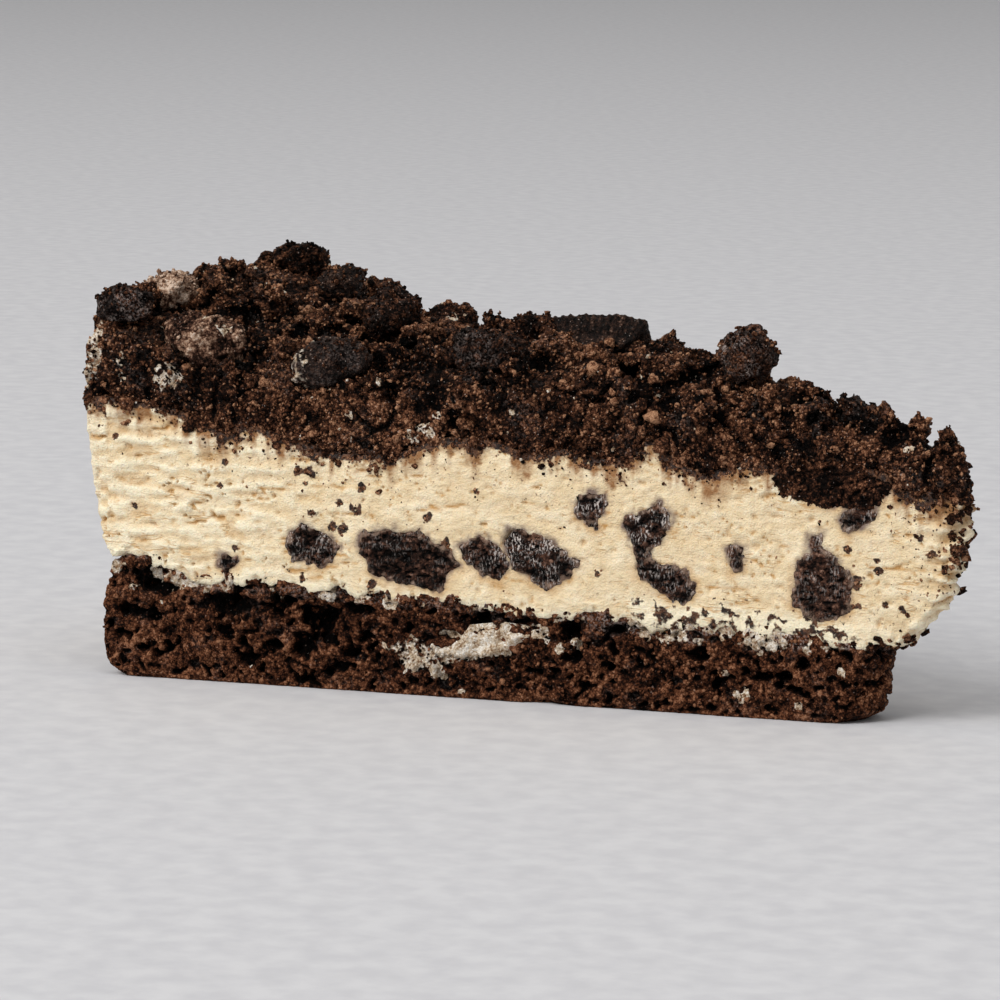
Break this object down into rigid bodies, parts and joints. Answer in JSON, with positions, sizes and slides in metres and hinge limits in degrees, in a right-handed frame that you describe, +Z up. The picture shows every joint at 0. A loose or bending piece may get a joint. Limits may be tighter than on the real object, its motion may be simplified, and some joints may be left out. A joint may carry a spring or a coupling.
{
  "type": "cheesecake slice",
  "caption": "Wedge of cookies and cream cheesecake on a dark cake base, with cookie pieces in the cut faces and a heap of cookie crumbs on top.",
  "frame": {"origin": "under the middle of the slice, on the surface that it stands on", "axes": "+Z up, +X along the middle of the slice towards its tip, -Y towards the front cut face"},
  "size_m": [0.1194, 0.063, 0.0544],
  "materials": {
    "base_cake": "porous dark chocolate cake",
    "filling": "cream filling with a soft satin cut",
    "cookie": "dry dark cookie",
    "crumbs": "granular dark cookie crumbs",
    "tan_lump": "cream-smeared crumb lump",
    "cream": "pale cream"
  },
  "bodies": {
    "root": {"base_cake": "base_cake", "cookie_01": "cookie", "cookie_02": "cookie", "cookie_03": "cookie", "cookie_04": "cookie", "cookie_05": "cookie", "cookie_06": "cookie", "cookie_07": "cookie", "cookie_08": "cookie", "cookie_09": "cookie", "cookie_10": "cookie", "cookie_11": "cookie", "cookie_back_01": "cookie", "cookie_back_02": "cookie", "cookie_back_03": "cookie", "cookie_back_04": "cookie", "cookie_back_05": "cookie", "cookie_back_06": "cookie", "cookie_back_07": "cookie", "cream_streak": "cream", "crumb_topping": "crumbs", "filling": "filling", "lump_back": "cookie", "lump_corner": "cookie", "lump_cream_end": "cookie", "lump_far": "cookie", "lump_front": "cookie", "lump_inner": "cookie", "lump_lone": "cookie", "lump_middle": "cookie", "lump_pale": "tan_lump", "lump_peak": "cookie", "lump_tan": "tan_lump", "lump_tip": "cookie", "wafer_ridged": "cookie"}
  },
  "joints": []
}
